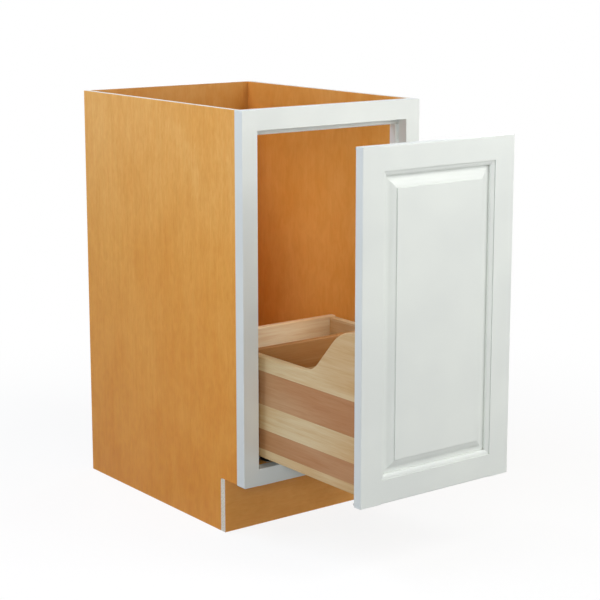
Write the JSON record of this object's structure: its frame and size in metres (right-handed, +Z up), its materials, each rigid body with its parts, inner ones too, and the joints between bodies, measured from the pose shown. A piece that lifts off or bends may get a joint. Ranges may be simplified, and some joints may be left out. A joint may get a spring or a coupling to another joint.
{
  "type": "pull-out trash cabinet",
  "caption": "Face-frame kitchen base cabinet with an inset raised-panel door that carries a low wooden box for trash bins and pulls out on slides under the box.",
  "frame": {"origin": "floor level, middle of the width, in the plane of the carcass back that stands against the wall", "axes": "+Z up, +Y out of the back towards the wall, so the door faces -Y, +X to the right of someone facing the door"},
  "size_m": [0.4572, 0.9332, 0.8763],
  "materials": {
    "maple_board": "amber maple laminate, satin",
    "rail_wood": "raw softwood",
    "white_frame_paint": "white satin paint on hardwood",
    "white_door_paint": "white satin paint on hardwood",
    "box_wood": "clear lacquer on mixed edge-glued hardwood boards",
    "box_floor_ply": "clear lacquer on plywood",
    "bumper_rubber": "clear soft pads",
    "slide_steel": "zinc-plated sheet steel",
    "roller_steel": "ground steel",
    "cage_plastic": "natural nylon",
    "bracket_plastic": "grey moulded plastic",
    "damper_plastic": "dark grey moulded plastic",
    "clip_plastic": "grey moulded plastic"
  },
  "bodies": {
    "cabinet": {"left_side_panel": "maple_board", "right_side_panel": "maple_board", "bottom_panel": "maple_board", "back_panel": "maple_board", "toe_kick_board": "maple_board", "slide_mounting_rail": "rail_wood", "left_frame_stile": "white_frame_paint", "right_frame_stile": "white_frame_paint", "frame_top_rail": "white_frame_paint", "frame_bottom_rail": "white_frame_paint", "left_stop_strip": "white_frame_paint", "right_stop_strip": "white_frame_paint", "top_stop_strip": "white_frame_paint", "left_cabinet_rail": "slide_steel", "right_cabinet_rail": "slide_steel", "left_rear_bracket": "bracket_plastic", "right_rear_bracket": "bracket_plastic", "left_damper": "damper_plastic", "right_damper": "damper_plastic"},
    "pullout": {"left_door_stile": "white_door_paint", "right_door_stile": "white_door_paint", "door_top_rail": "white_door_paint", "door_bottom_rail": "white_door_paint", "door_raised_panel": "white_door_paint", "left_box_side": "box_wood", "right_box_side": "box_wood", "box_front": "box_wood", "box_back": "box_wood", "box_divider": "box_wood", "box_bottom": "box_floor_ply", "door_bumpers": "bumper_rubber", "left_box_rail": "slide_steel", "right_box_rail": "slide_steel", "left_front_clip": "clip_plastic", "right_front_clip": "clip_plastic"},
    "left_middle": {"left_middle_rail": "slide_steel"},
    "left_lower_rollers": {"left_lower_roller_cage": "cage_plastic", "left_lower_rollers": "roller_steel"},
    "left_upper_rollers": {"left_upper_roller_cage": "cage_plastic", "left_upper_rollers": "roller_steel"},
    "right_middle": {"right_middle_rail": "slide_steel"},
    "right_lower_rollers": {"right_lower_roller_cage": "cage_plastic", "right_lower_rollers": "roller_steel"},
    "right_upper_rollers": {"right_upper_roller_cage": "cage_plastic", "right_upper_rollers": "roller_steel"},
    "left_lever": {"left_clip_lever": "clip_plastic"},
    "right_lever": {"right_clip_lever": "clip_plastic"}
  },
  "joints": [
    {"name": "pullout_slide", "type": "slide", "parent": "cabinet", "child": "pullout", "axis": [0, -1, 0], "range_m": [-0.325, 0.204]},
    {"name": "left_middle_slide", "type": "slide", "parent": "cabinet", "child": "left_middle", "axis": [0, -1, 0], "range_m": [-0.1626, 0.1021]},
    {"name": "left_lower_roller_slide", "type": "slide", "parent": "cabinet", "child": "left_lower_rollers", "axis": [0, -1, 0], "range_m": [-0.08135, 0.0511]},
    {"name": "left_upper_roller_slide", "type": "slide", "parent": "cabinet", "child": "left_upper_rollers", "axis": [0, -1, 0], "range_m": [-0.24385, 0.1531]},
    {"name": "right_middle_slide", "type": "slide", "parent": "cabinet", "child": "right_middle", "axis": [0, -1, 0], "range_m": [-0.1626, 0.1021]},
    {"name": "right_lower_roller_slide", "type": "slide", "parent": "cabinet", "child": "right_lower_rollers", "axis": [0, -1, 0], "range_m": [-0.08135, 0.0511]},
    {"name": "right_upper_roller_slide", "type": "slide", "parent": "cabinet", "child": "right_upper_rollers", "axis": [0, -1, 0], "range_m": [-0.24385, 0.1531]},
    {"name": "left_lever_pivot", "type": "hinge", "parent": "pullout", "child": "left_lever", "pos_m": [-0.125, -0.8756, 0.165], "axis": [0, 0, -1], "range_deg": [0, 12], "stiffness_Nm_per_rad": 0.05},
    {"name": "right_lever_pivot", "type": "hinge", "parent": "pullout", "child": "right_lever", "pos_m": [0.125, -0.8756, 0.165], "axis": [0, 0, 1], "range_deg": [0, 12], "stiffness_Nm_per_rad": 0.05}
  ],
  "couplings": [
    {"joint": "left_middle_slide", "follows": "pullout_slide", "ratio": 0.5},
    {"joint": "left_lower_roller_slide", "follows": "pullout_slide", "ratio": 0.25},
    {"joint": "left_upper_roller_slide", "follows": "pullout_slide", "ratio": 0.75},
    {"joint": "right_middle_slide", "follows": "pullout_slide", "ratio": 0.5},
    {"joint": "right_lower_roller_slide", "follows": "pullout_slide", "ratio": 0.25},
    {"joint": "right_upper_roller_slide", "follows": "pullout_slide", "ratio": 0.75}
  ]
}
